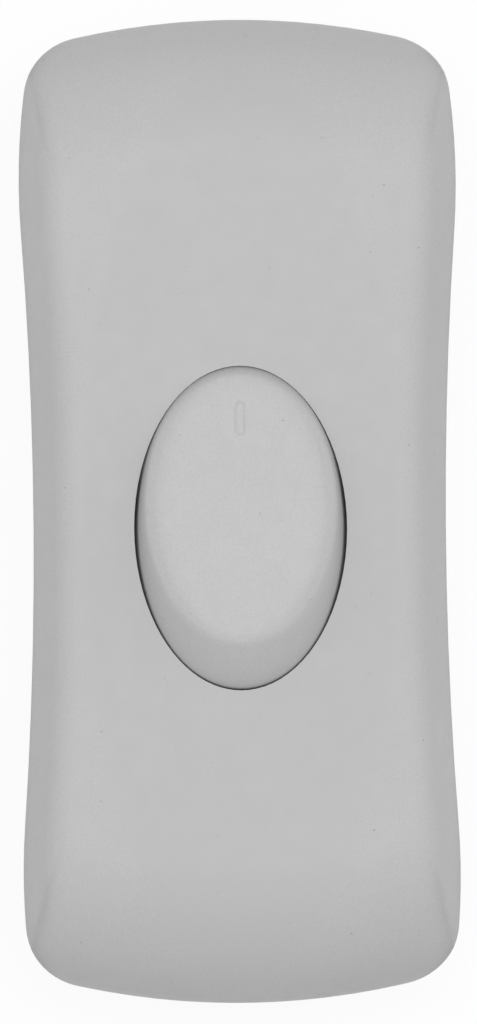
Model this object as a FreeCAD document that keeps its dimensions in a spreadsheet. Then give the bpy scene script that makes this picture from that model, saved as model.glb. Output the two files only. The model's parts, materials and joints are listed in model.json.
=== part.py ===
import FreeCAD, Part
import Sketcher
import math
import os
import re

# Inline cord switch: a two-pole rocker in a waisted two-part housing.
# Millimetres. X across, Y along the cord, Z up. The housing stands on z = 0.
# Bodies are drawn about the rocker's pivot line (y = 0) and then moved along Y by
# half the difference of the two ends, which puts the housing's middle on the origin.

SIZES = {
    "upper_reach": 43.4,
    "lower_reach": 40.6,
    "half_width": 18.5,
    "half_waist": 17.45,
    "shoulder_y": 29.3,
    "shoulder_radius": 60,
    "end_radius": 64,
    "corner_radius": 6,
    "base_height": 8.5,
    "cover_height": 16.5,
    "wall_height": 4,
    "upper_roll": 12,
    "lower_roll": 11.6,
    "bevel_height": 5.2,
    "bevel_run": 2.42,
    "crease_fall": 0.77,
    "crease_run": 0.53,
    "bevel_blend": 1.5,
    "spare": 3,
    "top_edge_radius": 1,
    "bottom_edge_radius": 2.8,
    "side_wall": 2.3,
    "end_wall": 3,
    "floor": 2,
    "top_wall": 2,
    "ledge_height": 9.5,
    "ledge_side": 2,
    "ledge_end": 3.2,
    "crown_height": 12.2,
    "crown_end": 10,
    "roll_sweep": 60,
    "inlet_radius": 4.25,
    "opening_half_width": 8.95,
    "opening_half_length": 13.64,
    "opening_flare": 2.1,
    "opening_side_flare": 1,
    "pivot_depth": 9.3,
    "rocker_tilt": 10,
    "face_height": 11.6,
    "face_half_width": 7.98,
    "face_half_length": 11.6,
    "brow_height": 9,
    "brow_half_width": 8.72,
    "brow_half_length": 13.55,
    "skirt_height": 6.6,
    "skirt_bottom": 3,
    "skirt_half_width": 10,
    "skirt_half_length": 14.95,
    "face_edge_radius": 0.7,
    "rocker_wall": 1.5,
    "rocker_top": 1.7,
    "cheek_thickness": 1.9,
    "cheek_proud": 0.15,
    "cheek_half": 2.6,
    "cheek_drop": 2.2,
    "trunnion_radius": 1.5,
    "trunnion_end": 12.1,
    "lug_inner": 10.4,
    "lug_outer": 12.4,
    "lug_half": 4,
    "lug_drop": 3,
    "bearing_gap": 0.08,
    "keeper_gap": 0.1,
    "keeper_half": 3,
    "keeper_foot": 11,
    "keeper_spread": 0.8,
    "keeper_inset": 0.2,
    "pole_x": 4.5,
    "stem_radius": 2.3,
    "stem_bore": 1.55,
    "stem_drop": 2.6,
    "stem_roof": 8.5,
    "plunger_gap": 0.1,
    "plunger_top": 0.8,
    "plunger_shoulder": 4.3,
    "plunger_tip": 6.7,
    "tip_radius": 0.9,
    "spigot_radius": 0.75,
    "spigot_height": 1.2,
    "spring_wire": 0.2,
    "spring_turns": 4,
    "spring_gap": 0.12,
    "bridge_half_width": 1.9,
    "bridge_half_length": 8,
    "bridge_thickness": 0.8,
    "bridge_tilt": 8,
    "tip_clearance": 0.14,
    "knuckle_radius": 0.7,
    "cradle_gap": 0.08,
    "cradle_drop": 0.3,
    "cradle_half": 1.6,
    "contact_y": 6.6,
    "contact_radius": 1.4,
    "contact_shank": 0.75,
    "moving_contact": 0.5,
    "fixed_contact": 0.7,
    "contact_gap": 0.03,
    "strip_thickness": 0.8,
    "stop_gap": 0.06,
    "stop_near": 6.4,
    "stop_length": 1.4,
    "strip_near": 5,
    "strip_half": 2,
    "elbow_y": 11,
    "bend_y": 13,
    "tongue": 1,
    "seat_near": 5.2,
    "seat_far": 8,
    "block_near": 14,
    "block_length": 8,
    "block_half_width": 3,
    "block_height": 7,
    "block_x": 9,
    "seat_height": 4,
    "wire_radius": 1.5,
    "wire_rise": 3.2,
    "wire_stop": 1.5,
    "screw_radius": 1.5,
    "thread_gap": 0.05,
    "earth_half_width": 2.6,
    "earth_strip_half": 1.1,
    "rib_thickness": 0.7,
    "rib_gap": 0.25,
    "barrier_height": 9,
    "guide_height": 7,
    "divider_x": 1.6,
    "divider_half": 9,
    "divider_height": 8.4,
    "clamp_y": 31,
    "clamp_width": 4.4,
    "clamp_half_length": 9.4,
    "clamp_seat": 10,
    "clamp_height": 4,
    "clamp_screw_x": 7.4,
    "clamp_post_radius": 2.5,
    "saddle_top": 7,
    "saddle_width": 3.2,
    "saddle_half": 5.7,
    "cord_radius": 4.2,
    "head_radius": 2.2,
    "head_height": 1.6,
    "slot_width": 0.7,
    "slot_depth": 0.8,
    "terminal_screw_length": 3.4,
    "clamp_screw_length": 9,
    "housing_x": 12.4,
    "housing_y": 26.8,
    "boss_radius": 3.4,
    "housing_head_radius": 2.3,
    "housing_head_height": 1.8,
    "housing_seat": 4.2,
    "housing_screw_radius": 1.4,
    "housing_screw_length": 15.5,
    "pilot_spare": 0.5,
    "web_half": 0.8,
    "head_gap": 0.2,
}

doc = FreeCAD.newDocument("inline_cord_switch")
sheet = doc.addObject("Spreadsheet::Sheet", "Sizes")
for row, (alias, number) in enumerate(SIZES.items(), 1):
    sheet.set(f"A{row}", alias)
    sheet.set(f"B{row}", str(number))
    sheet.setAlias(f"B{row}", alias)
doc.recompute()

# Heights and places that several pieces share.
SHIFT = "((lower_reach - upper_reach) / 2)"
TOTAL = "(base_height + cover_height)"
PIVOT = f"({TOTAL} - pivot_depth)"
BRIDGE_AXIS = f"({PIVOT} - plunger_tip - tip_clearance - bridge_thickness)"
BRIDGE_END = f"({BRIDGE_AXIS} - contact_y * sin(bridge_tilt * 1 deg))"
CONTACT_DIP = "(moving_contact * cos(bridge_tilt * 1 deg) + contact_radius * sin(bridge_tilt * 1 deg))"
CONTACT_FACE = f"({BRIDGE_END} - {CONTACT_DIP} - contact_gap)"
STRIP_TOP = f"({CONTACT_FACE} - fixed_contact)"
STRIP_BOTTOM = f"({STRIP_TOP} - strip_thickness)"
BLOCK_TOP = "(seat_height + block_height)"
BLOCK_MIDDLE = "(block_near + block_length / 2)"
BLOCK_FAR = "(block_near + block_length)"
SIDES = ("1", "-1")
ENDS = ("1", "-1")


def bind(expression):
    """Names the sheet in front of each size in an expression."""
    return re.sub(
        r"[a-z_]{2,}",
        lambda word: "Sizes." + word.group() if word.group() in SIZES else word.group(),
        expression,
    )


def value(expression):
    """The number that an expression of sizes gives."""
    found = sheet.evalExpression(bind(expression))
    return float(getattr(found, "Value", found))


def vector(x, y, z=0.0):
    return FreeCAD.Vector(x, y, z)


def place(thing, x="0", y="0", z="0", turn=None):
    """Sets a placement from expressions, with an optional turn about X in degrees."""
    thing.setExpression("Placement.Base.x", bind(x))
    thing.setExpression("Placement.Base.y", bind(f"{SHIFT} + {y}"))
    thing.setExpression("Placement.Base.z", bind(z))
    if turn:
        thing.Placement.Rotation = FreeCAD.Rotation(vector(1, 0, 0), value(turn))
        thing.setExpression("Placement.Rotation.Angle", bind(f"({turn}) * 1 deg"))


def new_body(name, x="0", y="0", z="0", turn=None):
    body = doc.addObject("PartDesign::Body", name)
    body.Label = name
    place(body, x, y, z, turn)
    return body


def new_sketch(body, plane, offset="0"):
    """A sketch on one of the body's origin planes, moved along the plane's normal."""
    sketch = body.newObject("Sketcher::SketchObject", body.Label + "_sketch")
    support = next(f for f in body.Origin.OriginFeatures if f.Role == plane)
    sketch.AttachmentSupport = (support, [""])
    sketch.MapMode = "FlatFace"
    sketch.setExpression("AttachmentOffset.Base.z", bind(offset))
    return sketch


def dimension(sketch, kind, *ends_and_size):
    """A driving constraint bound to an expression."""
    *ends, size = ends_and_size
    index = sketch.addConstraint(Sketcher.Constraint(kind, *ends, value(size)))
    sketch.setExpression(f"Constraints[{index}]", bind(size))


def locate(sketch, geometry, point, x, y):
    """Fixes a point's coordinates; a plain zero lies on the axis."""
    if x == "0":
        sketch.addConstraint(Sketcher.Constraint("PointOnObject", geometry, point, -2))
    else:
        dimension(sketch, "DistanceX", -1, 1, geometry, point, x)
    if y == "0":
        sketch.addConstraint(Sketcher.Constraint("PointOnObject", geometry, point, -1))
    else:
        dimension(sketch, "DistanceY", -1, 1, geometry, point, y)


def draw_circle(sketch, x, y, radius):
    circle = Part.Circle(vector(value(x), value(y)), vector(0, 0, 1), value(radius))
    index = sketch.addGeometry(circle, False)
    locate(sketch, index, 3, x, y)
    dimension(sketch, "Radius", index, radius)


def draw_box(sketch, x_low, x_high, y_low, y_high):
    left, right = value(x_low), value(x_high)
    front, back = value(y_low), value(y_high)
    corners = [(left, front), (right, front), (right, back), (left, back)]
    first = sketch.GeometryCount
    for index, corner in enumerate(corners):
        following = corners[(index + 1) % 4]
        sketch.addGeometry(Part.LineSegment(vector(*corner), vector(*following)), False)
    for index in range(4):
        following = first + (index + 1) % 4
        sketch.addConstraint(Sketcher.Constraint("Coincident", first + index, 2, following, 1))
        direction = "Vertical" if index % 2 else "Horizontal"
        sketch.addConstraint(Sketcher.Constraint(direction, first + index))
    locate(sketch, first, 1, x_low, y_low)
    locate(sketch, first + 2, 1, x_high, y_high)


def draw_path(sketch, points):
    """A closed path of straight lines through points given as expressions."""
    places = [vector(value(x), value(y)) for x, y in points]
    first = sketch.GeometryCount
    count = len(points)
    for index in range(count):
        sketch.addGeometry(Part.LineSegment(places[index], places[(index + 1) % count]), False)
    for index in range(count):
        following = first + (index + 1) % count
        sketch.addConstraint(Sketcher.Constraint("Coincident", first + index, 2, following, 1))
    for index, (x, y) in enumerate(points):
        locate(sketch, first + index, 1, x, y)


def draw_ellipse(sketch, half_width, half_length):
    """An ellipse about the sketch's origin, longer along its second axis."""
    across, along = value(half_width), value(half_length)
    curve = Part.Ellipse(vector(0, along), vector(-across, 0), vector(0, 0))
    index = sketch.addGeometry(curve, False)
    sketch.exposeInternalGeometry(index)
    sketch.addConstraint(Sketcher.Constraint("Coincident", index, 3, -1, 1))
    sketch.addConstraint(Sketcher.Constraint("Vertical", index + 1))
    dimension(sketch, "Distance", index + 1, f"2 * {half_length}")
    dimension(sketch, "Distance", index + 2, f"2 * {half_width}")


def draw_outline(sketch, side_inset="0", end_inset="0"):
    """The waisted housing outline: twelve tangent arcs, moved in from sides and ends."""
    inset = value(side_inset)
    widest = value("half_width") - inset
    waist = value("half_waist") - inset
    shoulder = value("shoulder_radius") - inset
    corner = value("corner_radius") - inset
    end = value("end_radius")
    rise = value("shoulder_y")
    centre_x = widest - shoulder
    reach_x = waist - centre_x
    hollow = (reach_x**2 + rise**2 - shoulder**2) / (2 * (widest - waist))
    hollow_x = waist + hollow
    spread = math.asin(rise / (hollow + shoulder))
    half_turn = math.pi
    halves = []
    for reach in ("upper_reach", "lower_reach"):
        end_y = value(f"{reach} - ({end_inset})") - end
        gap_x, gap_y = centre_x, rise - end_y
        gap = math.hypot(gap_x, gap_y)
        along = ((end - corner) ** 2 - (shoulder - corner) ** 2 + gap**2) / (2 * gap)
        off = math.sqrt((end - corner) ** 2 - along**2)
        corner_x = (gap_x * along + gap_y * off) / gap
        corner_y = end_y + (gap_y * along - gap_x * off) / gap
        turn_in = math.atan2(corner_y - rise, corner_x - centre_x)
        turn_out = math.atan2(corner_y - end_y, corner_x)
        halves.append((end_y, corner_x, corner_y, turn_in, turn_out))
    up_y, up_x, up_corner, up_in, up_out = halves[0]
    low_y, low_x, low_corner, low_in, low_out = halves[1]
    arcs = [
        (hollow_x, 0, hollow, half_turn - spread, half_turn + spread),
        (centre_x, rise, shoulder, -spread, up_in),
        (up_x, up_corner, corner, up_in, up_out),
        (0, up_y, end, up_out, half_turn - up_out),
        (-up_x, up_corner, corner, half_turn - up_out, half_turn - up_in),
        (-centre_x, rise, shoulder, half_turn - up_in, half_turn + spread),
        (-hollow_x, 0, hollow, -spread, spread),
        (-centre_x, -rise, shoulder, half_turn - spread, half_turn + low_in),
        (-low_x, -low_corner, corner, half_turn + low_in, half_turn + low_out),
        (0, -low_y, end, half_turn + low_out, 2 * half_turn - low_out),
        (low_x, -low_corner, corner, -low_out, -low_in),
        (centre_x, -rise, shoulder, -low_in, spread),
    ]
    for x, y, radius, start, finish in arcs:
        circle = Part.Circle(vector(x, y), vector(0, 0, 1), radius)
        sketch.addGeometry(Part.ArcOfCircle(circle, start, finish), False)
    joints = [(0, 1, 1, 1), (5, 2, 6, 2), (6, 1, 7, 1), (11, 2, 0, 2)]
    joints += [(arc, 2, arc + 1, 1) for arc in (1, 2, 3, 4, 7, 8, 9, 10)]
    for joint in joints:
        sketch.addConstraint(Sketcher.Constraint("Tangent", *joint))
    for alike in ((1, 5, 7, 11), (2, 4, 8, 10), (3, 9)):
        for arc in alike[1:]:
            sketch.addConstraint(Sketcher.Constraint("Equal", alike[0], arc))
    for arc in (3, 9):
        sketch.addConstraint(Sketcher.Constraint("PointOnObject", arc, 3, -2))
    dimension(sketch, "Radius", 1, f"shoulder_radius - ({side_inset})")
    dimension(sketch, "Radius", 2, f"corner_radius - ({side_inset})")
    dimension(sketch, "Radius", 3, "end_radius")
    dimension(sketch, "DistanceY", -1, 1, 3, 3, f"upper_reach - ({end_inset}) - end_radius")
    dimension(sketch, "DistanceY", -1, 1, 9, 3, f"end_radius - lower_reach + ({end_inset})")
    for arc, side, level in ((1, "", ""), (5, "-", ""), (7, "-", "-"), (11, "", "-")):
        dimension(sketch, "DistanceX", -1, 1, arc, 3, f"{side}1 * (half_width - shoulder_radius)")
        dimension(sketch, "DistanceY", -1, 1, arc, 3, f"{level}1 * shoulder_y")
    waist_line = f"half_waist - ({side_inset})"
    for arc, side in ((0, ""), (6, "-")):
        point = sketch.addGeometry(Part.Point(vector(value(f"{side}1 * ({waist_line})"), 0)), True)
        sketch.addConstraint(Sketcher.Constraint("PointOnObject", point, 1, arc))
        locate(sketch, point, 1, f"{side}1 * ({waist_line})", "0")


def pad(body, sketch, length, both_ways=False, reverse=False):
    feature = body.newObject("PartDesign::Pad", body.Label + "_pad")
    feature.Profile = sketch
    feature.setExpression("Length", bind(length))
    if both_ways:
        feature.SideType = "Symmetric"
    feature.Reversed = reverse
    return feature


def pocket(body, sketch, length=None, both_ways=False, reverse=False):
    """A cut of a given length, or right through both ways where no length is given."""
    feature = body.newObject("PartDesign::Pocket", body.Label + "_pocket")
    feature.Profile = sketch
    if length:
        feature.setExpression("Length", bind(length))
    else:
        feature.Type = "ThroughAll"
    if both_ways:
        feature.SideType = "Symmetric"
    feature.Reversed = reverse
    return feature


def loft(body, kind, sections):
    feature = body.newObject(kind, body.Label + "_loft")
    feature.Profile = sections[0]
    feature.Sections = sections[1:]
    return feature


def edge_names(feature, test):
    """The names of a feature's edges that pass a test."""
    doc.recompute()
    edges = enumerate(feature.Shape.Edges, 1)
    return [f"Edge{number}" for number, edge in edges if test(edge)]


def level(edge, height):
    """Whether an edge lies in the horizontal plane at a height."""
    box = edge.BoundBox
    return abs(box.ZMin - height) < 1e-4 and abs(box.ZMax - height) < 1e-4


def dress(body, kind, feature, edges, **sizes):
    """A fillet or chamfer on named edges of a feature."""
    done = body.newObject(kind, body.Label + "_edge")
    done.Base = (feature, edges)
    for name, size in sizes.items():
        done.setExpression(name, bind(size))
    return done


def roll_end(body, reach, run, side):
    """Cuts one end down from the flat to the upright wall along an arc, turned about the end arc's axis."""
    sketch = new_sketch(body, "YZ_Plane")
    turned = side < 0
    axis = value(f"{side} * ({reach} - end_radius)")
    end = value(f"{side} * {reach}")
    inner = value(f"{side} * ({reach} - {run})")
    low = value("wall_height")
    top = value("cover_height")
    rise = top - low
    radius = (value(run)**2 + rise**2) / (2 * value(run))
    turn = math.asin(rise / radius)
    circle = Part.Circle(vector(end - side * radius, low), vector(0, 0, 1), radius)
    span = (math.pi - turn, math.pi) if turned else (0, turn)
    sketch.addGeometry(Part.ArcOfCircle(circle, *span), False)
    outside = end + side * value("spare")
    above = top + value("spare")
    corners = [vector(inner, top), vector(inner, above), vector(outside, above)]
    corners += [vector(outside, low), vector(end, low)]
    for start, finish in zip(corners, corners[1:]):
        sketch.addGeometry(Part.LineSegment(start, finish), False)
    foot, head = (2, 1) if turned else (1, 2)
    sketch.addConstraint(Sketcher.Constraint("Coincident", 0, head, 1, 1))
    for line in (1, 2, 3):
        sketch.addConstraint(Sketcher.Constraint("Coincident", line, 2, line + 1, 1))
    sketch.addConstraint(Sketcher.Constraint("Coincident", 4, 2, 0, foot))
    for line, direction in ((1, "Vertical"), (2, "Horizontal"), (3, "Vertical"), (4, "Horizontal")):
        sketch.addConstraint(Sketcher.Constraint(direction, line))
    dimension(sketch, "DistanceY", -1, 1, 0, 3, "wall_height")
    locate(sketch, 0, foot, f"{side} * {reach}", "wall_height")
    locate(sketch, 0, head, f"{side} * ({reach} - {run})", "cover_height")
    locate(sketch, 2, 2, f"{side} * ({reach} + spare)", "cover_height + spare")
    pole = sketch.addGeometry(Part.LineSegment(vector(axis, 0), vector(axis, top)), True)
    sketch.addConstraint(Sketcher.Constraint("Vertical", pole))
    locate(sketch, pole, 1, f"{side} * ({reach} - end_radius)", "0")
    dimension(sketch, "DistanceY", pole, 1, pole, 2, "cover_height")
    cut = body.newObject("PartDesign::Groove", body.Label + "_groove")
    cut.Profile = sketch
    cut.ReferenceAxis = (sketch, ["Axis0"])
    cut.setExpression("Angle", bind("roll_sweep"))
    cut.Midplane = True
    return cut


def housing_places():
    """The housing screws stand at two opposite corners."""
    return [(f"{side} * housing_x", f"{side} * housing_y") for side in SIDES]


def cut_inlets(body, height):
    """The round cord inlets, half in each shell, bored from the ends past the saddles."""
    inner = "(clamp_y - saddle_width / 2 - rib_gap)"
    for reach, side in (("upper_reach", "-1"), ("lower_reach", "1")):
        sketch = new_sketch(body, "XZ_Plane", f"{side} * ({reach} + spare)")
        draw_circle(sketch, "0", height, "inlet_radius")
        pocket(body, sketch, f"{reach} + spare - {inner}", reverse=side == "-1")


def upper_shell():
    """A waisted cushion: its sides lean in to a crease round the flat top, its ends roll down."""
    body = new_body("upper_shell", z="base_height")
    sketch = new_sketch(body, "XY_Plane")
    draw_outline(sketch)
    form = pad(body, sketch, "cover_height")
    for fall, run in (("bevel_height", "bevel_run"), ("crease_fall", "crease_run")):
        rim = edge_names(form, lambda edge: level(edge, value("cover_height")))
        form = dress(body, "PartDesign::Chamfer", form, rim, Size=fall, Size2=run)
        form.ChamferType = "Two distances"
    crease = edge_names(form, lambda edge: level(edge, value("cover_height")))
    form = dress(body, "PartDesign::Fillet", form, crease, Radius="top_edge_radius")
    slope = value("bevel_height / sqrt(bevel_height^2 + bevel_run^2)")
    knee = edge_names(form, lambda edge: level(edge, value("cover_height") - value("crease_fall") * slope))
    dress(body, "PartDesign::Fillet", form, knee, Radius="bevel_blend")
    roll_end(body, "upper_reach", "upper_roll", 1)
    roll_end(body, "lower_reach", "lower_roll", -1)

    inner_side = "side_wall + ledge_side"
    under_top = "cover_height - top_wall"
    steps = [
        ("side_wall", "end_wall", "0", "ledge_height"),
        (inner_side, "end_wall + ledge_end", "ledge_height", "crown_height"),
        (inner_side, "crown_end", "crown_height", under_top),
    ]
    for side_inset, end_inset, low, high in steps:
        sketch = new_sketch(body, "XY_Plane", low)
        draw_outline(sketch, side_inset, end_inset)
        pocket(body, sketch, f"{high} - ({low})", reverse=True)

    mouth = new_sketch(body, "XY_Plane", "cover_height")
    draw_ellipse(mouth, "opening_half_width", "opening_half_length")
    throat = new_sketch(body, "XY_Plane", under_top)
    throat_width = "(opening_half_width + opening_side_flare)"
    draw_ellipse(throat, throat_width, "(opening_half_length + opening_flare)")
    loft(body, "PartDesign::SubtractiveLoft", [mouth, throat])

    pivot = "(cover_height - pivot_depth)"
    sketch = new_sketch(body, "XY_Plane", f"{pivot} - lug_drop")
    for side in SIDES:
        draw_box(sketch, f"{side} * lug_inner", f"{side} * lug_outer", "-1 * lug_half", "lug_half")
    pad(body, sketch, f"cover_height - top_wall / 2 - {pivot} + lug_drop")
    slot_half = "(trunnion_radius + bearing_gap)"
    sketch = new_sketch(body, "YZ_Plane")
    draw_circle(sketch, "0", pivot, slot_half)
    pocket(body, sketch, "2 * (lug_outer + bearing_gap)", both_ways=True)
    sketch = new_sketch(body, "YZ_Plane")
    draw_box(sketch, f"-1 * {slot_half}", slot_half, f"{pivot} - lug_drop - bearing_gap", pivot)
    pocket(body, sketch, "2 * (lug_outer + bearing_gap)", both_ways=True)

    sketch = new_sketch(body, "XY_Plane")
    for x, y in housing_places():
        draw_circle(sketch, x, y, "boss_radius")
    pad(body, sketch, "cover_height - 0.75 * top_wall")
    sketch = new_sketch(body, "XY_Plane")
    for x, y in housing_places():
        draw_circle(sketch, x, y, "housing_screw_radius + thread_gap")
    depth = "housing_seat + housing_screw_length + pilot_spare - base_height"
    pocket(body, sketch, depth, reverse=True)
    cut_inlets(body, "0")
    return body


def raise_boxes(body, top, boxes):
    """Pads boxes from inside the floor up to a height."""
    sketch = new_sketch(body, "XY_Plane", "floor / 2")
    for box in boxes:
        draw_box(sketch, *box)
    pad(body, sketch, f"{top} - floor / 2")


def raise_posts(body, top, radius, places):
    """Pads round posts from inside the floor up to a height."""
    sketch = new_sketch(body, "XY_Plane", "floor / 2")
    for x, y in places:
        draw_circle(sketch, x, y, radius)
    pad(body, sketch, f"{top} - floor / 2")


def clamp_places():
    """The clamp screws stand either side of the cord at both ends."""
    return [(f"{side} * clamp_screw_x", f"{end} * clamp_y") for end in ENDS for side in SIDES]


def lower_shell():
    """A tray with the outline of the cover and the seats for everything inside."""
    body = new_body("lower_shell")
    sketch = new_sketch(body, "XY_Plane")
    draw_outline(sketch)
    form = pad(body, sketch, "base_height")
    rim = edge_names(form, lambda edge: level(edge, 0))
    dress(body, "PartDesign::Fillet", form, rim, Radius="bottom_edge_radius")
    sketch = new_sketch(body, "XY_Plane", "base_height")
    draw_outline(sketch, "side_wall", "end_wall")
    pocket(body, sketch, "base_height - floor")

    raise_posts(body, "base_height", "boss_radius", housing_places())
    webs = []
    for side in SIDES:
        reach = f"{side} * (half_width - side_wall / 2)"
        middle = f"{side} * housing_y"
        webs.append((f"{side} * housing_x", reach, f"{middle} - web_half", f"{middle} + web_half"))
    raise_boxes(body, "base_height", webs)
    raise_posts(body, "clamp_seat", "clamp_post_radius", clamp_places())
    saddles = []
    for end in ENDS:
        near = f"{end} * (clamp_y - saddle_width / 2)"
        far = f"{end} * (clamp_y + saddle_width / 2)"
        saddles.append(("-1 * saddle_half", "saddle_half", near, far))
    raise_boxes(body, "saddle_top", saddles)

    pedestals = []
    barriers = []
    guides = []
    for end in ENDS:
        near = f"{end} * block_near"
        far = f"{end} * {BLOCK_FAR}"
        pedestals.append(("rib_gap - earth_half_width", "earth_half_width - rib_gap", near, far))
        for side in SIDES:
            inner = f"{side} * (block_x - block_half_width + rib_gap)"
            outer = f"{side} * (block_x + block_half_width - rib_gap)"
            pedestals.append((inner, outer, near, far))
            middle = "((block_x - block_half_width + earth_half_width) / 2)"
            inner = f"{side} * ({middle} - rib_thickness / 2)"
            outer = f"{side} * ({middle} + rib_thickness / 2)"
            barriers.append((inner, outer, near, far))
            inner = "(block_x + block_half_width + rib_gap)"
            guides.append((f"{side} * {inner}", f"{side} * ({inner} + rib_thickness)", near, far))
    raise_boxes(body, "seat_height", pedestals)
    raise_boxes(body, "barrier_height", barriers)
    raise_boxes(body, "guide_height", guides)

    seats = []
    dividers = []
    feet = []
    keepers = []
    for side in SIDES:
        inner = f"{side} * (pole_x - bridge_half_width)"
        outer = f"{side} * (pole_x + bridge_half_width)"
        seats.append((inner, outer, "-1 * seat_far", "-1 * seat_near"))
        seats.append((inner, outer, "-1 * cradle_half", "seat_far"))
        inner = f"{side} * divider_x"
        outer = f"{side} * (divider_x + rib_thickness)"
        dividers.append((inner, outer, "-1 * divider_half", "divider_half"))
        inner = f"{side} * (lug_inner - keeper_spread)"
        outer = f"{side} * (lug_outer + keeper_spread)"
        feet.append((inner, outer, "-1 * keeper_half", "keeper_half"))
        inner = f"{side} * (lug_inner + keeper_inset)"
        outer = f"{side} * (lug_outer - keeper_inset)"
        half = "(trunnion_radius + bearing_gap - keeper_inset)"
        keepers.append((inner, outer, f"-1 * {half}", half))
    raise_boxes(body, STRIP_BOTTOM, seats)
    raise_boxes(body, "divider_height", dividers)
    raise_boxes(body, "keeper_foot", feet)
    raise_boxes(body, f"{PIVOT} - trunnion_radius - keeper_gap", keepers)

    holes = [
        ("0", "housing_head_radius + head_gap", "housing_seat"),
        ("housing_seat", "housing_screw_radius + head_gap", "base_height - housing_seat"),
    ]
    for low, radius, depth in holes:
        sketch = new_sketch(body, "XY_Plane", low)
        for x, y in housing_places():
            draw_circle(sketch, x, y, radius)
        pocket(body, sketch, depth, reverse=True)
    sketch = new_sketch(body, "XY_Plane", "clamp_seat")
    for x, y in clamp_places():
        draw_circle(sketch, x, y, "screw_radius + thread_gap")
    pocket(body, sketch, "clamp_screw_length - clamp_height + pilot_spare")
    cut_inlets(body, "base_height")
    return body


def rocker():
    """The oval rocker at its ON rest: the crowned face, its skirt, two trunnions and two stems."""
    body = new_body("rocker", z=PIVOT, turn="-1 * rocker_tilt")
    sketch = new_sketch(body, "XY_Plane", "skirt_bottom")
    draw_ellipse(sketch, "skirt_half_width", "skirt_half_length")
    pad(body, sketch, "skirt_height - skirt_bottom")
    rings = [
        ("skirt_height", "skirt_half_width", "skirt_half_length"),
        ("brow_height", "brow_half_width", "brow_half_length"),
        ("face_height", "face_half_width", "face_half_length"),
    ]
    sections = []
    for height, half_width, half_length in rings:
        sketch = new_sketch(body, "XY_Plane", height)
        draw_ellipse(sketch, half_width, half_length)
        sections.append(sketch)
    form = loft(body, "PartDesign::AdditiveLoft", sections)
    rim = edge_names(form, lambda edge: level(edge, value("face_height")))
    dress(body, "PartDesign::Fillet", form, rim, Radius="face_edge_radius")
    for (height, half_width, half_length), roof in ((rings[0], "0"), (rings[2], "rocker_top")):
        sketch = new_sketch(body, "XY_Plane", "skirt_bottom")
        draw_ellipse(sketch, f"({half_width} - rocker_wall)", f"({half_length} - rocker_wall)")
        pocket(body, sketch, f"{height} - {roof} - skirt_bottom", reverse=True)

    outside = "(skirt_half_width + cheek_proud)"
    cheek = f"({outside} - cheek_thickness)"
    root = f"({outside} - cheek_thickness / 2)"
    sketch = new_sketch(body, "XY_Plane", "-1 * cheek_drop")
    for side in SIDES:
        draw_box(sketch, f"{side} * {cheek}", f"{side} * {outside}", "-1 * cheek_half", "cheek_half")
    pad(body, sketch, "cheek_drop + skirt_bottom + rocker_wall")
    for side in SIDES:
        sketch = new_sketch(body, "YZ_Plane", f"{side} * {root}")
        draw_circle(sketch, "0", "0", "trunnion_radius")
        pad(body, sketch, f"trunnion_end - {root}", reverse=side == "-1")

    sketch = new_sketch(body, "XY_Plane", "-1 * stem_drop")
    for side in SIDES:
        draw_circle(sketch, f"{side} * pole_x", "0", "stem_radius")
    pad(body, sketch, "stem_drop + face_height - rocker_top / 2")
    sketch = new_sketch(body, "XY_Plane", "-1 * stem_drop")
    for side in SIDES:
        draw_circle(sketch, f"{side} * pole_x", "0", "stem_bore")
    pocket(body, sketch, "stem_drop + stem_roof", reverse=True)
    return body


def plunger(name, side):
    """A turned pin that slides in a stem of the rocker and pushes the bridge over."""
    body = new_body(name, x=f"{side} * pole_x", z=PIVOT, turn="-1 * rocker_tilt")
    sketch = new_sketch(body, "XZ_Plane")
    barrel = "stem_bore - plunger_gap"
    spigot_top = "plunger_top + spigot_height"
    profile = [
        ("0", "-1 * plunger_tip"),
        ("tip_radius", "-1 * plunger_tip"),
        (barrel, "-1 * plunger_shoulder"),
        (barrel, "plunger_top"),
        ("spigot_radius", "plunger_top"),
        ("spigot_radius", spigot_top),
        ("0", spigot_top),
    ]
    draw_path(sketch, profile)
    turned = body.newObject("PartDesign::Revolution", name + "_turned")
    turned.Profile = sketch
    turned.ReferenceAxis = (sketch, ["V_Axis"])
    return body


def group(name, solids):
    """One node of separate solids."""
    compound = doc.addObject("Part::Compound", name)
    compound.Label = name
    compound.Links = solids
    return compound


def plunger_spring(name, side):
    """A coil of square wire between the plunger's shoulder and the roof of its stem."""
    coil_radius = "(stem_bore - spring_gap - spring_wire)"
    low = "(plunger_top + spring_wire + spring_gap)"
    height = f"(stem_roof - spring_wire - spring_gap - {low})"
    coil = doc.addObject("Part::Helix", name + "_coil")
    coil.setExpression("Radius", bind(coil_radius))
    coil.setExpression("Height", bind(height))
    coil.setExpression("Pitch", bind(f"{height} / spring_turns"))
    coil.setExpression("Placement.Base.z", bind(low))
    wire = doc.addObject("Part::RegularPolygon", name + "_wire")
    wire.Polygon = 4
    wire.setExpression("Circumradius", bind("spring_wire"))
    wire.Placement.Rotation = FreeCAD.Rotation(vector(1, 0, 0), 90)
    wire.setExpression("Placement.Base.x", bind(coil_radius))
    wire.setExpression("Placement.Base.z", bind(low))
    doc.recompute()
    sweep = doc.addObject("Part::Sweep", name + "_sweep")
    sweep.Sections = [wire]
    sweep.Spine = (coil, edge_names(coil, lambda edge: True))
    sweep.Solid = True
    sweep.Frenet = True
    spring = group(name, [sweep])
    place(spring, f"{side} * pole_x", "0", PIVOT, "-1 * rocker_tilt")
    return spring


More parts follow.
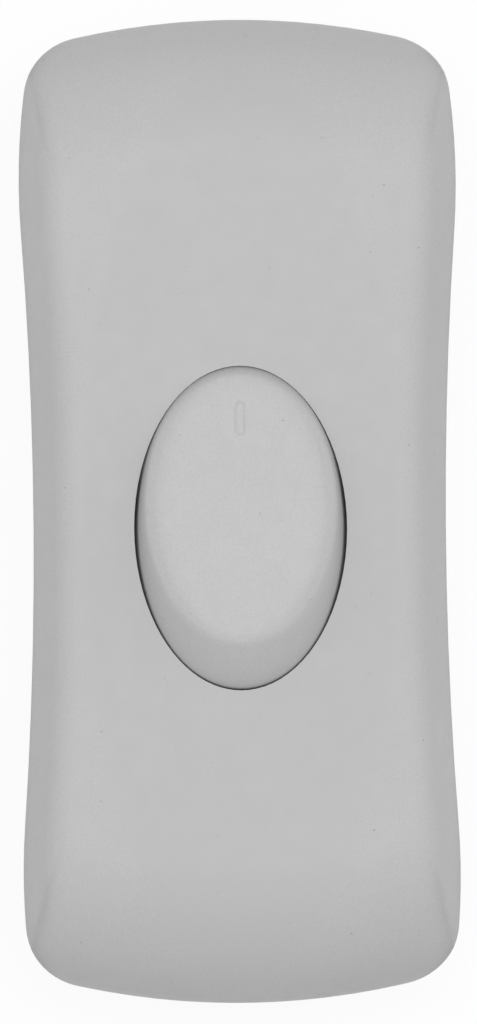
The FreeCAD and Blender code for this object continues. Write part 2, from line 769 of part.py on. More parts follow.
def contact_bridge(name, side):
    """A see-saw strip on a round knuckle, down at the contact end."""
    body = new_body(name, x=f"{side} * pole_x", z=BRIDGE_AXIS, turn="bridge_tilt")
    sketch = new_sketch(body, "XY_Plane")
    width = ("-1 * bridge_half_width", "bridge_half_width")
    draw_box(sketch, *width, "-1 * bridge_half_length", "bridge_half_length")
    pad(body, sketch, "bridge_thickness")
    sketch = new_sketch(body, "YZ_Plane")
    draw_circle(sketch, "0", "0", "knuckle_radius")
    pad(body, sketch, "2 * bridge_half_width", both_ways=True)
    sketch = new_sketch(body, "XY_Plane")
    draw_circle(sketch, "0", "-1 * contact_y", "contact_shank + thread_gap")
    pocket(body, sketch, "bridge_thickness", reverse=True)
    return body


def rivet(name, side, y, z, head_height, shank_length, head_up, turn=None):
    """A contact rivet: its head on one side of the seat plane, its shank on the other."""
    body = new_body(name, x=f"{side} * pole_x", z=z, turn=turn)
    parts = (("contact_radius", head_height, head_up), ("contact_shank", shank_length, not head_up))
    for radius, length, upward in parts:
        sketch = new_sketch(body, "XY_Plane")
        draw_circle(sketch, "0", y, radius)
        pad(body, sketch, length, reverse=not upward)
    return body


def drill_block(body, x, end):
    """A wire hole from the far face of a terminal block and a screw hole from its top."""
    backward = end == "1"
    sketch = new_sketch(body, "XZ_Plane", f"-{end} * {BLOCK_FAR}" if backward else BLOCK_FAR)
    draw_circle(sketch, x, "seat_height + wire_rise", "wire_radius")
    pocket(body, sketch, "block_length - wire_stop", reverse=backward)
    sketch = new_sketch(body, "XY_Plane", BLOCK_TOP)
    draw_circle(sketch, x, f"{end} * {BLOCK_MIDDLE}", "screw_radius + thread_gap")
    pocket(body, sketch, "block_height - wire_rise")


def terminal(name, side, end, near):
    """A drilled terminal block with a strip that jogs inward to the pole's line."""
    body = new_body(name)
    sketch = new_sketch(body, "XY_Plane", "seat_height")
    inner = f"{side} * (block_x - block_half_width)"
    outer = f"{side} * (block_x + block_half_width)"
    draw_box(sketch, inner, outer, f"{end} * block_near", f"{end} * {BLOCK_FAR}")
    pad(body, sketch, "block_height")
    strip = [
        ("pole_x - bridge_half_width", near),
        ("pole_x + bridge_half_width", near),
        ("pole_x + bridge_half_width", "elbow_y"),
        ("block_x + strip_half", "elbow_y"),
        ("block_x + strip_half", "block_near + tongue"),
        ("block_x - strip_half", "block_near + tongue"),
        ("block_x - strip_half", "bend_y"),
        ("pole_x - bridge_half_width", "bend_y"),
    ]
    sketch = new_sketch(body, "XY_Plane", STRIP_BOTTOM)
    draw_path(sketch, [(f"{side} * ({x})", f"{end} * ({y})") for x, y in strip])
    pad(body, sketch, "strip_thickness")
    drill_block(body, f"{side} * block_x", end)
    return body


def contact_terminal(name, side):
    """The terminal that carries the fixed contact."""
    body = terminal(name, side, "-1", "strip_near")
    sketch = new_sketch(body, "XY_Plane", STRIP_TOP)
    draw_circle(sketch, f"{side} * pole_x", "-1 * contact_y", "contact_shank + thread_gap")
    pocket(body, sketch, "strip_thickness")
    return body


def pivot_terminal(name, side):
    """The terminal that cradles the bridge's knuckle and stops its free end."""
    body = terminal(name, side, "1", "-1 * cradle_half")
    inner = f"{side} * (pole_x - bridge_half_width)"
    outer = f"{side} * (pole_x + bridge_half_width)"
    stop_top = f"{BRIDGE_AXIS} - bridge_half_length * sin(bridge_tilt * 1 deg) - stop_gap"
    blocks = [
        ("-1 * cradle_half", "cradle_half", f"{BRIDGE_AXIS} - cradle_drop"),
        ("stop_near", "stop_near + stop_length", stop_top),
    ]
    for low, high, top in blocks:
        sketch = new_sketch(body, "XY_Plane", STRIP_TOP)
        draw_box(sketch, inner, outer, low, high)
        pad(body, sketch, f"{top} - {STRIP_TOP}")
    sketch = new_sketch(body, "YZ_Plane")
    draw_circle(sketch, "0", BRIDGE_AXIS, "knuckle_radius + cradle_gap")
    pocket(body, sketch, both_ways=True)
    return body


def earth_link():
    """Two drilled blocks on one strip, which carry the earth core straight through."""
    body = new_body("earth_link")
    sketch = new_sketch(body, "XY_Plane", "seat_height")
    for end in ENDS:
        width = ("-1 * earth_half_width", "earth_half_width")
        draw_box(sketch, *width, f"{end} * block_near", f"{end} * {BLOCK_FAR}")
    pad(body, sketch, "block_height")
    sketch = new_sketch(body, "XY_Plane", "seat_height")
    reach = "(block_near + tongue)"
    draw_box(sketch, "-1 * earth_strip_half", "earth_strip_half", f"-1 * {reach}", reach)
    pad(body, sketch, "strip_thickness")
    for end in ENDS:
        drill_block(body, "0", end)
    return body


def cord_clamp(name, end):
    """A bar hollowed to the cord, screwed down on its two posts."""
    body = new_body(name, y=f"{end} * clamp_y", z="clamp_seat")
    sketch = new_sketch(body, "XY_Plane")
    length = ("-1 * clamp_half_length", "clamp_half_length")
    draw_box(sketch, *length, "-1 * clamp_width / 2", "clamp_width / 2")
    pad(body, sketch, "clamp_height")
    sketch = new_sketch(body, "XZ_Plane")
    draw_circle(sketch, "0", "base_height - clamp_seat", "cord_radius")
    pocket(body, sketch, both_ways=True)
    sketch = new_sketch(body, "XY_Plane")
    for side in SIDES:
        draw_circle(sketch, f"{side} * clamp_screw_x", "0", "screw_radius + head_gap")
    pocket(body, sketch, "clamp_height", reverse=True)
    return body


def rod(name, radius, length, x, y, low):
    """An upright cylinder."""
    cylinder = doc.addObject("Part::Cylinder", name)
    cylinder.setExpression("Radius", bind(radius))
    cylinder.setExpression("Height", bind(length))
    place(cylinder, x, y, low)
    return cylinder


def slotted(name, blank, radius, x, y, low):
    """A screw blank with a driver's slot across it."""
    slot = doc.addObject("Part::Box", name + "_slot")
    slot.setExpression("Length", bind(f"2 * {radius}"))
    slot.setExpression("Width", bind("slot_width"))
    slot.setExpression("Height", bind("slot_depth"))
    place(slot, f"{x} - {radius}", f"{y} - slot_width / 2", low)
    screw = doc.addObject("Part::Cut", name + "_screw")
    screw.Base = blank
    screw.Tool = slot
    return screw


def terminal_screws():
    """Six headless screws, flush with the tops of the terminal blocks."""
    name = "terminal_screws"
    screws = []
    for end in ENDS:
        y = f"{end} * {BLOCK_MIDDLE}"
        for x in ("-1 * block_x", "0", "block_x"):
            low = f"{BLOCK_TOP} - terminal_screw_length"
            blank = rod(name + "_blank", "screw_radius", "terminal_screw_length", x, y, low)
            screws.append(slotted(name, blank, "screw_radius", x, y, f"{BLOCK_TOP} - slot_depth"))
    return group(name, screws)


def headed_screw(name, screw, x, y, seat, upward):
    """A cheese-head screw with its head on a seat and its shank through it."""
    radius, length, head_radius, head_height = screw
    head_low = f"{seat} - {head_height}" if upward else seat
    shank_low = seat if upward else f"{seat} - {length}"
    slot_low = head_low if upward else f"{seat} + {head_height} - slot_depth"
    blank = doc.addObject("Part::Fuse", name + "_blank")
    blank.Base = rod(name + "_head", head_radius, head_height, x, y, head_low)
    blank.Tool = rod(name + "_shank", radius, length, x, y, shank_low)
    return slotted(name, blank, head_radius, x, y, slot_low)


def clamp_screws():
    """Four screws, down through the clamp bars into their posts."""
    name = "clamp_screws"
    screw = ("screw_radius", "clamp_screw_length", "head_radius", "head_height")
    seat = "(clamp_seat + clamp_height)"
    return group(name, [headed_screw(name, screw, x, y, seat, False) for x, y in clamp_places()])


def housing_screws():
    """Two screws, up from below through the lower shell into the cover."""
    name = "housing_screws"
    screw = ("housing_screw_radius", "housing_screw_length", "housing_head_radius", "housing_head_height")
    places = housing_places()
    return group(name, [headed_screw(name, screw, x, y, "housing_seat", True) for x, y in places])


nodes = [upper_shell(), lower_shell(), rocker()]
for pole, side in (("line", "1"), ("neutral", "-1")):
    nodes += [
        plunger(f"{pole}_plunger", side),
        plunger_spring(f"{pole}_plunger_spring", side),
        contact_bridge(f"{pole}_contact_bridge", side),
        rivet(
            f"{pole}_moving_contact",
            side,
            "-1 * contact_y",
            BRIDGE_AXIS,
            "moving_contact",
            "bridge_thickness",
            False,
            "bridge_tilt",
        ),
        rivet(
            f"{pole}_fixed_contact",
            side,
            "-1 * contact_y",
            STRIP_TOP,
            "fixed_contact",
            "strip_thickness",
            True,
        ),
        contact_terminal(f"{pole}_contact_terminal", side),
        pivot_terminal(f"{pole}_pivot_terminal", side),
    ]
nodes.append(earth_link())
for name, end in (("upper_cord_clamp", "1"), ("lower_cord_clamp", "-1")):
    nodes.append(cord_clamp(name, end))
nodes += [terminal_screws(), clamp_screws(), housing_screws()]

doc.recompute()
os.makedirs("parts", exist_ok=True)
for thing in doc.Objects:
    if {"Invalid", "Error"} & set(thing.State):
        raise ValueError(f"{thing.Name} failed: {thing.getStatusString()}")
for node in nodes:
    if node.Shape.isNull() or not node.Shape.isValid():
        raise ValueError(f"{node.Label} has no valid shape")
for node in nodes:
    node.Shape.exportStep(f"parts/{node.Label}.step")
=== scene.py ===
import json
import math

import bpy
from mathutils import Matrix, Vector


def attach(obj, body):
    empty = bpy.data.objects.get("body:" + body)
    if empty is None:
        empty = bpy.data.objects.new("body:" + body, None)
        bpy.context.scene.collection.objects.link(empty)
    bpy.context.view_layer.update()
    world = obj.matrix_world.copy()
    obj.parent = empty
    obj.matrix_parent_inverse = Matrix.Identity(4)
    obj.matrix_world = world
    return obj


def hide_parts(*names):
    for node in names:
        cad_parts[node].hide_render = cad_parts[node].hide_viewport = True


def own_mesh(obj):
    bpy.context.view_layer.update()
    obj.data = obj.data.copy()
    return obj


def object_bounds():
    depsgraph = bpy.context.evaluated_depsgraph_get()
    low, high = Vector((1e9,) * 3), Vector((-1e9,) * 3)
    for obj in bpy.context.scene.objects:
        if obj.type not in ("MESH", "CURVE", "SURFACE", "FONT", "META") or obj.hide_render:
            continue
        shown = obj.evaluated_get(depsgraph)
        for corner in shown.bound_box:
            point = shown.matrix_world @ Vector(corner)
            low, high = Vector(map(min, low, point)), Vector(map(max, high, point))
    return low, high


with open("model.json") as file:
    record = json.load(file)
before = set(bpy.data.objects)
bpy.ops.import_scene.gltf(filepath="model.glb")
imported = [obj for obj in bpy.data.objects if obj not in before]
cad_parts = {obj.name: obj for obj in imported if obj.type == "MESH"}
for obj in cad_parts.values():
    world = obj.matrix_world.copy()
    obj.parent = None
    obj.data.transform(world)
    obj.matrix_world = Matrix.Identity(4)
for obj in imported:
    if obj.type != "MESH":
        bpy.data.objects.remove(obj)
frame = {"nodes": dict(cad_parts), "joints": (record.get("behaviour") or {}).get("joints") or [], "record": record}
cad_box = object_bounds()

MM = 0.001

# The rocker's pivot and its tilt at rest, which is half its travel.
joints = {joint["name"]: joint for joint in frame["joints"]}
PIVOT = Vector(joints["rocker_pivot"]["pos_m"])
REST_TILT = -math.radians(joints["rocker_pivot"]["range_deg"][1]) / 2

# The photograph's height and the switch's length there in pixels, and a pixel's real size.
IMAGE_HEIGHT = 1024
SWITCH_PIXELS = 982.6
PIXEL = (cad_box[1].y - cad_box[0].y) / SWITCH_PIXELS

# A long lens that stands a little to one side and is level with the outline it frames.
LENS = 300
SENSOR_HEIGHT = 36
OUTLINE_HEIGHT = 12.5 * MM
CAMERA_ASIDE = 9.9 * MM
CAMERA_DOWN = 0.6 * PIXEL
CAMERA_ROLL = math.radians(-0.42)

# The dome's strength and the share by which its sides gain and its ends lose, and one lamp.
DOME = 0.62
DOME_SIDES = 0.4
LAMP_SIZE = 0.5
LAMP_ENERGY = 3.6
LAMP_PLACE = (0.05, 0.15, 1.0)
LAMP_AIM = Vector((0, 0, 0.012))

# The floor lies just below the housing. Its grey lights the part, its glow is what shows.
FLOOR_HALF = 8.0
FLOOR_DROP = 0.05 * MM
FLOOR_GREY = 0.76
FLOOR_GLOW = 0.9

# Slots of moulded plastic, with their tone and roughness.
PLASTICS = {
    "shell_plastic": (0.519, 0.55),
    "rocker_plastic": (0.538, 0.5),
    "clamp_plastic": (0.5, 0.5),
    "plunger_nylon": (0.68, 0.4),
}
NOISE_BAND = (0.3, 0.7)
CLOUD_SCALE = 90
GRAIN_SCALE = 5600
GRAIN_SHARE = 0.75
TONE_SPREAD = 0.048
GLOSS_SCALE = 700
GLOSS_SPREAD = 0.05
TEXTURE_SCALE = 3200
TEXTURE_ROUGHNESS = 0.6
TEXTURE_DEPTH = 0.006 * MM
SPECULAR = 0.35

# Dust: grid points to a metre, a speck's radius in grid steps, and the share left bare.
SPECK_SCALE = 520
SPECK_REACH = 0.045
SPECK_BARE = 0.35
SPECK_TONE = 0.7

# Slots of bare metal, with their tint, roughness and the scale of their grain.
METALS = {
    "terminal_brass": ((0.72, 0.53, 0.25), 0.34, 900),
    "bridge_brass": ((0.66, 0.42, 0.22), 0.3, 1200),
    "contact_silver": ((0.78, 0.77, 0.74), 0.22, 1500),
    "plated_steel": ((0.56, 0.56, 0.57), 0.36, 1100),
}
TARNISH_SCALE = 400
TARNISH_TONE = 0.8
POLISHED = -0.08
DULLED = 0.12
METAL_DEPTH = 0.004 * MM

# Radii that soften the edges: the cover's grow towards its corners, the rocker's away from
# its raised end.
EDGE_SAMPLES = 6
SHELL_EDGE = 1.9 * MM
CORNER_EDGE = 3.4 * MM
CORNER_FROM = (26 * MM, 34 * MM)
ROCKER_EDGE = 1.3 * MM
BROW_EDGE = 3.0 * MM
BROW_FROM = (-11.5 * MM, -7.5 * MM)
SMALL_EDGE = 0.2 * MM

# Ovals in plan, as half width, half length and middle along Y. Where the cover meets the
# opening its edge stays crisp, and a faint painted sheen lies on its top: an oval a little darker than the rest.
OPENING_EDGE = (10.9 * MM, 15.6 * MM, PIVOT.y)
OPENING_FADE = 0.08
PAINTED_SHEEN = (13.2 * MM, 38.3 * MM, -0.6 * MM)
PAINTED_SHEEN_FADE = 0.06
PAINTED_SHEEN_SHARE = 0.6
PAINTED_SHEEN_TONE = 0.98

# Painted shade: the rocker's colour darkens in its gap, less so where the gap closes, and in a band at its pressed
# end's rim.
GAP_SAMPLES = 6
GAP_REACH = 3.2 * MM
GAP_BAND = (0.1, 0.9)
GAP_SHADE_TONE = 0.2
GAP_CLOSES = (1.0 * MM, 5.0 * MM)
GAP_CLOSED = 0.8
PRESSED_RIM = (8.95 * MM, 13.64 * MM, PIVOT.y)
PRESSED_FADE = 0.08
PRESSED_INSIDE = 0.95
PRESSED_FROM = (6.5 * MM, 11.5 * MM)
PRESSED_SHADE_TONE = 0.58

# The ON bar, with the height of the rocker's face and the bar's place along it from the pivot.
FACE_HEIGHT = 11.6 * MM
MARK_Y = 7.33 * MM
MARK_LENGTH = 2.9 * MM
MARK_WIDTH = 0.86 * MM
MARK_LINE = 0.13 * MM
MARK_RISE = 0.02 * MM
# The bar's plastic is a little darker than the rocker's, as painted shade for the edges of its thin relief.
MARK_SHADE_TONE = 0.955
MARK_STEPS = 10

# The plunger springs, each above its pole's bridge, with heights above the pivot.
POLES = {pole: joints[pole + "_bridge_tilt"]["pos_m"][0] for pole in ("line", "neutral")}
COIL_RADIUS = 1.23 * MM
COIL_WIRE = 0.2 * MM
COIL_TURNS = 4
COIL_LOW = 1.12 * MM
COIL_HIGH = 8.18 * MM
COIL_STEPS = 28
COIL_SIDES = 8


class Nodes:
    """The node tree of a material or the world, with short ways to add and join nodes."""

    def __init__(self, owner):
        owner.use_nodes = True
        self.tree = owner.node_tree

    def add(self, kind, **settings):
        node = self.tree.nodes.new(kind)
        for key, setting in settings.items():
            setattr(node, key, setting)
        return node

    def put(self, source, socket):
        """Joins a source to a socket, or sets a number or a colour there."""
        if isinstance(source, (int, float)):
            socket.default_value = source
        elif isinstance(source, tuple):
            socket.default_value = (*source, 1.0)
        else:
            self.tree.links.new(source, socket)

    def feed(self, name, source):
        """Puts a source into the material's own shader."""
        self.put(source, self.tree.nodes["Principled BSDF"].inputs[name])

    def place(self, space="Object"):
        return self.add("ShaderNodeTexCoord").outputs[space]

    def axes(self, space="Object"):
        split = self.add("ShaderNodeSeparateXYZ")
        self.put(self.place(space), split.inputs["Vector"])
        return split.outputs

    def math(self, operation, *values):
        node = self.add("ShaderNodeMath", operation=operation)
        for value, socket in zip(values, node.inputs):
            self.put(value, socket)
        return node.outputs[0]

    def mix(self, factor, first, second, kind="RGBA"):
        node = self.add("ShaderNodeMix", data_type=kind)
        for source, name in ((factor, "Factor"), (first, "A"), (second, "B")):
            self.put(source, node.inputs[name])
        return node.outputs["Result"]

    def in_view(self):
        """1 for the rays that show a background: from the camera, mirrored or through glass."""
        path = self.add("ShaderNodeLightPath").outputs
        seen = self.math("MAXIMUM", path["Is Camera Ray"], path["Is Glossy Ray"])
        return self.math("MAXIMUM", seen, path["Is Transmission Ray"])

    def noise(self, scale, detail, roughness=0.5):
        node = self.add("ShaderNodeTexNoise")
        node.inputs["Scale"].default_value = scale
        node.inputs["Detail"].default_value = detail
        node.inputs["Roughness"].default_value = roughness
        self.put(self.place(), node.inputs["Vector"])
        return node.outputs["Fac"]

    def ramp(self, source, low, high):
        """A colour from low to high across the middle of a noise."""
        node = self.add("ShaderNodeValToRGB")
        for element, position, tone in zip(node.color_ramp.elements, NOISE_BAND, (low, high)):
            element.position = position
            element.color = (*tone, 1.0)
        self.put(source, node.inputs["Fac"])
        return node.outputs["Color"]

    def span(self, source, low, high, band=NOISE_BAND):
        """A number from low to high as the source crosses a band."""
        node = self.add("ShaderNodeMapRange")
        node.inputs["From Min"].default_value, node.inputs["From Max"].default_value = band
        node.inputs["To Min"].default_value = low
        node.inputs["To Max"].default_value = high
        self.put(source, node.inputs["Value"])
        return node.outputs["Result"]

    def specks(self):
        """Sparse dust: 1 close to some of the points of a scattered grid, 0 elsewhere."""
        grid = self.add("ShaderNodeTexVoronoi")
        grid.inputs["Scale"].default_value = SPECK_SCALE
        self.put(self.place(), grid.inputs["Vector"])
        near = self.math("LESS_THAN", grid.outputs["Distance"], SPECK_REACH)
        split = self.add("ShaderNodeSeparateColor")
        self.put(grid.outputs["Color"], split.inputs["Color"])
        picked = self.math("GREATER_THAN", split.outputs["Red"], SPECK_BARE)
        return self.math("MULTIPLY", near, picked)

    def oval(self, outline, fade, rim=1.0):
        """1 inside an oval in plan, 0 outside, with a fade about its rim.

        The fade and the rim are squares of the distance from the middle as a share of
        the oval's size.
        """
        half_width, half_length, middle = outline
        axes = self.axes()
        across = self.math("DIVIDE", axes["X"], half_width)
        along = self.math("DIVIDE", self.math("SUBTRACT", axes["Y"], middle), half_length)
        squares = [self.math("MULTIPLY", share, share) for share in (across, along)]
        return self.span(self.math("ADD", *squares), 1.0, 0.0, (rim - fade, rim + fade))

    def open_air(self):
        """1 in the open, falling to 0 deep in a gap; the mask of the rocker's painted gap shade."""
        node = self.add("ShaderNodeAmbientOcclusion", samples=GAP_SAMPLES)
        node.inputs["Distance"].default_value = GAP_REACH
        return self.span(node.outputs["AO"], 0.0, 1.0, GAP_BAND)

    def soft_edges(self, radius, crisp):
        """Normals that round a moulding's edges, apart from where a mask keeps them crisp."""
        node = self.add("ShaderNodeBevel", samples=EDGE_SAMPLES)
        self.put(radius, node.inputs["Radius"])
        rounded = node.outputs["Normal"]
        if crisp is None:
            return rounded
        plain = self.add("ShaderNodeNewGeometry").outputs["Normal"]
        return self.mix(crisp, rounded, plain, kind="VECTOR")

    def bump(self, height, distance, normal=None):
        node = self.add("ShaderNodeBump")
        if normal is not None:
            self.put(normal, node.inputs["Normal"])
        node.inputs["Distance"].default_value = distance
        self.put(height, node.inputs["Height"])
        self.feed("Normal", node.outputs["Normal"])


def grey(tone):
    return (tone, tone, tone)


# A finish adds what is particular to a plastic piece; the cover's adds a painted sheen and the rocker's adds
# painted shade. It gives back the piece's colour, the radius of its edges, and a mask of edges that stay crisp or
# None.


def cover_finish_and_sheen(nodes, tone, colour):
    # Painted sheen: the cover's top is a little darker inside a long oval.
    painted_sheen = nodes.math("MULTIPLY", nodes.oval(PAINTED_SHEEN, PAINTED_SHEEN_FADE), PAINTED_SHEEN_SHARE)
    colour = nodes.mix(painted_sheen, colour, grey(tone * PAINTED_SHEEN_TONE))
    crisp = nodes.oval(OPENING_EDGE, OPENING_FADE)
    from_middle = nodes.math("ABSOLUTE", nodes.axes()["Y"])
    return colour, nodes.span(from_middle, SHELL_EDGE, CORNER_EDGE, CORNER_FROM), crisp


def rocker_finish_and_shade(nodes, tone, colour):
    # Painted shade in the gap round the rocker, from ambient occlusion.
    closed = nodes.span(nodes.axes()["Y"], 0.0, GAP_CLOSED, GAP_CLOSES)
    lit = nodes.math("MAXIMUM", nodes.open_air(), closed)
    colour = nodes.mix(lit, grey(tone * GAP_SHADE_TONE), colour)
    # Painted shade in a band at the rim of the rocker's pressed end.
    pressed = nodes.span(nodes.axes()["Y"], 0.0, 1.0, PRESSED_FROM)
    near_rim = nodes.math("SUBTRACT", 1.0, nodes.oval(PRESSED_RIM, PRESSED_FADE, PRESSED_INSIDE))
    shaded = nodes.math("MULTIPLY", near_rim, pressed)
    colour = nodes.mix(shaded, colour, grey(tone * PRESSED_SHADE_TONE))
    return colour, nodes.span(nodes.axes()["Y"], ROCKER_EDGE, BROW_EDGE, BROW_FROM), None


def small_finish(nodes, tone, colour):
    return colour, SMALL_EDGE, None


def mark_finish(nodes, tone, colour):
    return colour, MARK_RISE, None


def moulded_plastic(name, tone, roughness, finish_and_shade):
    """Matte moulded plastic: a faint cloudy tone, specks, a fine grain and uneven gloss."""
    material = bpy.data.materials.new(name)
    nodes = Nodes(material)
    cloud = nodes.math("MULTIPLY", nodes.noise(CLOUD_SCALE, detail=2.0), 1.0 - GRAIN_SHARE)
    grain = nodes.math("MULTIPLY", nodes.noise(GRAIN_SCALE, detail=1.0), GRAIN_SHARE)
    dark, light = grey(tone * (1 - TONE_SPREAD)), grey(tone * (1 + TONE_SPREAD))
    colour = nodes.ramp(nodes.math("ADD", cloud, grain), dark, light)
    colour = nodes.mix(nodes.specks(), colour, grey(tone * SPECK_TONE))
    colour, edge_radius, crisp = finish_and_shade(nodes, tone, colour)
    nodes.feed("Base Color", colour)
    gloss = nodes.noise(GLOSS_SCALE, detail=2.0)
    gloss = nodes.span(gloss, roughness - GLOSS_SPREAD, roughness + GLOSS_SPREAD)
    nodes.feed("Roughness", gloss)
    nodes.feed("Specular IOR Level", SPECULAR)
    texture = nodes.noise(TEXTURE_SCALE, detail=2.0, roughness=TEXTURE_ROUGHNESS)
    nodes.bump(texture, TEXTURE_DEPTH, nodes.soft_edges(edge_radius, crisp))
    return material


def bare_metal(name, tint, roughness, grain_scale):
    """Bare metal with a drawn or rolled grain and a little tarnish."""
    material = bpy.data.materials.new(name)
    nodes = Nodes(material)
    dull = tuple(channel * TARNISH_TONE for channel in tint)
    nodes.feed("Base Color", nodes.ramp(nodes.noise(TARNISH_SCALE, detail=4.0), dull, tint))
    gloss = nodes.noise(grain_scale, detail=3.0)
    nodes.feed("Roughness", nodes.span(gloss, roughness + POLISHED, roughness + DULLED))
    nodes.feed("Metallic", 1.0)
    nodes.bump(nodes.noise(grain_scale, detail=2.0), METAL_DEPTH)
    return material


def dress_nodes():
    """Gives each CAD node the material of its slot, and gives back the materials by slot."""
    finishes_and_shades = {"shell_plastic": cover_finish_and_sheen, "rocker_plastic": rocker_finish_and_shade}
    looks = {}
    for slot, (tone, roughness) in PLASTICS.items():
        finish_and_shade = finishes_and_shades.get(slot, small_finish)
        looks[slot] = moulded_plastic(slot, tone, roughness, finish_and_shade)
    for slot, (tint, roughness, grain_scale) in METALS.items():
        looks[slot] = bare_metal(slot, tint, roughness, grain_scale)
    for part in frame["record"]["subparts"]:
        node = frame["nodes"][part["node"]]
        node.data.materials.clear()
        node.data.materials.append(looks[part["material_slot"]])
    return looks


def show(name, verts, faces, place, material):
    """A mesh object with a material, made about the origin and then put in its place."""
    mesh = bpy.data.meshes.new(name)
    mesh.from_pydata(verts, [], faces)
    mesh.transform(place)
    mesh.materials.append(material)
    piece = bpy.data.objects.new(name, mesh)
    bpy.context.collection.objects.link(piece)
    return piece


def on_rocker():
    """The rocker's own frame at rest, with its pivot as the origin."""
    return Matrix.Translation(PIVOT) @ Matrix.Rotation(REST_TILT, 4, "X")


def stadium(length, width):
    """Points of a bar with round ends, anticlockwise, about the origin."""
    radius = width / 2
    reach = length / 2 - radius
    points = []
    for centre, start in ((reach, 0.0), (-reach, math.pi)):
        for step in range(MARK_STEPS + 1):
            turn = start + math.pi * step / MARK_STEPS
            points.append((radius * math.cos(turn), centre + radius * math.sin(turn)))
    return points


def on_mark():
    """The ON bar: a thin raised outline near the pressed end of the rocker's face, a little darker as painted
    shade.
    """
    outer = stadium(MARK_LENGTH, MARK_WIDTH)
    inner = stadium(MARK_LENGTH - 2 * MARK_LINE, MARK_WIDTH - 2 * MARK_LINE)
    section = ((outer, 0.0), (outer, MARK_RISE), (inner, MARK_RISE), (inner, 0.0))
    verts = []
    for ring, height in section:
        verts += [(x, MARK_Y + y, FACE_HEIGHT + height) for x, y in ring]
    count = len(outer)
    faces = []
    for band in range(len(section)):
        near, far = band * count, (band + 1) % len(section) * count
        for step in range(count):
            following = (step + 1) % count
            faces.append((near + step, near + following, far + following, far + step))
    tone, roughness = PLASTICS["rocker_plastic"]
    material = moulded_plastic("mark_plastic", tone * MARK_SHADE_TONE, roughness, mark_finish)
    mark = show("on_mark", verts, faces, on_rocker(), material)
    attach(mark, "rocker")


def plunger_coil(pole, across, steel):
    """A coil of round wire at its pole's place on the rocker, in place of the CAD spring."""
    rise = (COIL_HIGH - COIL_LOW) / COIL_TURNS
    lead = math.atan2(rise, 2 * math.pi * COIL_RADIUS)
    verts = []
    for step in range(COIL_TURNS * COIL_STEPS + 1):
        turn = 2 * math.pi * step / COIL_STEPS
        outward = Vector((math.cos(turn), math.sin(turn), 0))
        around = Vector((-math.sin(turn), math.cos(turn), 0))
        forward = math.cos(lead) * around + Vector((0, 0, math.sin(lead)))
        downward = forward.cross(outward)
        centre = COIL_RADIUS * outward + Vector((0, 0, COIL_LOW + rise * step / COIL_STEPS))
        for side in range(COIL_SIDES):
            angle = 2 * math.pi * side / COIL_SIDES
            spoke = math.cos(angle) * outward + math.sin(angle) * downward
            verts.append(centre + COIL_WIRE * spoke)
    last = len(verts) - COIL_SIDES
    faces = [tuple(reversed(range(COIL_SIDES))), tuple(range(last, len(verts)))]
    for near in range(0, last, COIL_SIDES):
        far = near + COIL_SIDES
        for side in range(COIL_SIDES):
            following = (side + 1) % COIL_SIDES
            faces.append((near + side, near + following, far + following, far + side))
    stem = on_rocker() @ Matrix.Translation((across, 0, 0))
    coil = show(pole + "_coil", verts, faces, stem, steel)
    coil.data.polygons.foreach_set("use_smooth", [True] * len(faces))
    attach(coil, "rocker")
    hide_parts(pole + "_plunger_spring")
    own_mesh(coil)


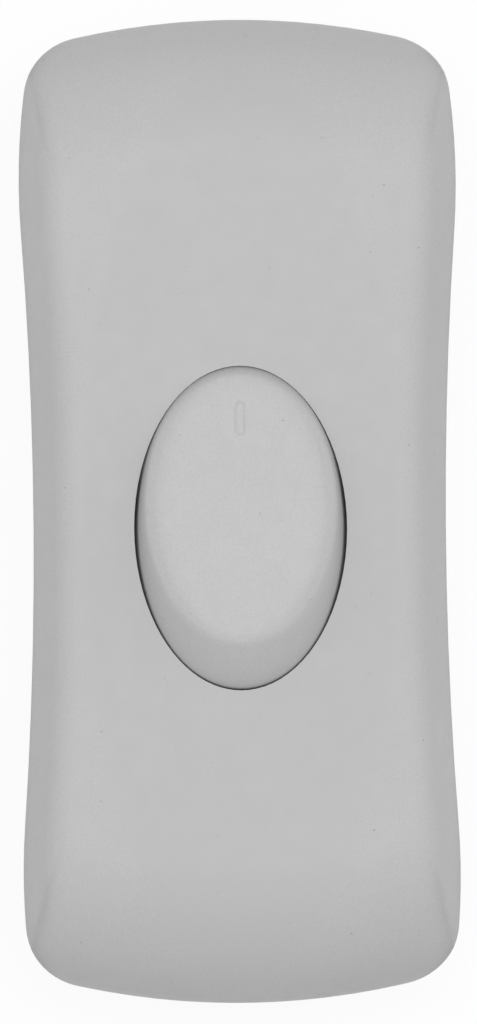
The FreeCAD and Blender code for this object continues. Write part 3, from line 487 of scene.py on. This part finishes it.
def white_floor():
    """A white floor that shows as the white background and keeps a faint shadow."""
    material = bpy.data.materials.new("floor_white")
    nodes = Nodes(material)
    seen = nodes.in_view()
    diffuse = nodes.add("ShaderNodeBsdfDiffuse")
    nodes.put(nodes.mix(seen, grey(FLOOR_GREY), grey(1.0)), diffuse.inputs["Color"])
    blend = nodes.add("ShaderNodeMixShader")
    nodes.put(nodes.math("MULTIPLY", seen, FLOOR_GLOW), blend.inputs["Fac"])
    nodes.put(diffuse.outputs[0], blend.inputs[1])
    nodes.put(nodes.add("ShaderNodeEmission").outputs[0], blend.inputs[2])
    nodes.put(blend.outputs[0], nodes.tree.nodes["Material Output"].inputs["Surface"])
    square = ((-1, -1), (1, -1), (1, 1), (-1, 1))
    corners = [(x * FLOOR_HALF, y * FLOOR_HALF, 0) for x, y in square]
    below = Matrix.Translation((0, 0, -FLOOR_DROP))
    floor = show("floor", corners, [tuple(range(len(corners)))], below, material)


def soft_light():
    """A pale dome that is brighter at its sides, and a large soft lamp towards the ON end."""
    world = bpy.data.worlds.new("studio")
    bpy.context.scene.world = world
    nodes = Nodes(world)
    axes = nodes.axes("Generated")
    across, along = (nodes.math("MULTIPLY", axes[axis], axes[axis]) for axis in "XY")
    gain = nodes.math("MULTIPLY", nodes.math("SUBTRACT", across, along), DOME * DOME_SIDES)
    strength = nodes.math("MAXIMUM", nodes.math("ADD", gain, DOME), nodes.in_view())
    dome = nodes.tree.nodes["Background"].inputs
    nodes.put(grey(1.0), dome["Color"])
    nodes.put(strength, dome["Strength"])
    lamp = bpy.data.lights.new("soft_lamp", "AREA")
    lamp.shape = "DISK"
    lamp.size = LAMP_SIZE
    lamp.energy = LAMP_ENERGY
    holder = bpy.data.objects.new("soft_lamp", lamp)
    holder.location = LAMP_PLACE
    aim = LAMP_AIM - holder.location
    holder.rotation_euler = aim.to_track_quat("-Z", "Y").to_euler()
    bpy.context.collection.objects.link(holder)


def overhead_camera():
    """A long lens above the switch, a hair off the upright, framed as in the photograph."""
    lens = bpy.data.cameras.new("camera")
    lens.sensor_fit = "VERTICAL"
    lens.sensor_height = SENSOR_HEIGHT
    lens.lens = LENS
    distance = IMAGE_HEIGHT * PIXEL * LENS / SENSOR_HEIGHT
    place = Matrix.Translation((-CAMERA_ASIDE, -CAMERA_DOWN, OUTLINE_HEIGHT + distance))
    tilt = Matrix.Rotation(-math.atan(CAMERA_ASIDE / distance), 4, "Y")
    roll = Matrix.Rotation(CAMERA_ROLL, 4, "Z")
    camera = bpy.data.objects.new("camera", lens)
    camera.matrix_world = place @ tilt @ roll
    bpy.context.collection.objects.link(camera)
    bpy.context.scene.camera = camera


bpy.context.scene.view_settings.view_transform = "Standard"
materials = dress_nodes()
on_mark()
for pole, across in POLES.items():
    plunger_coil(pole, across, materials["plated_steel"])
white_floor()
soft_light()
overhead_camera()
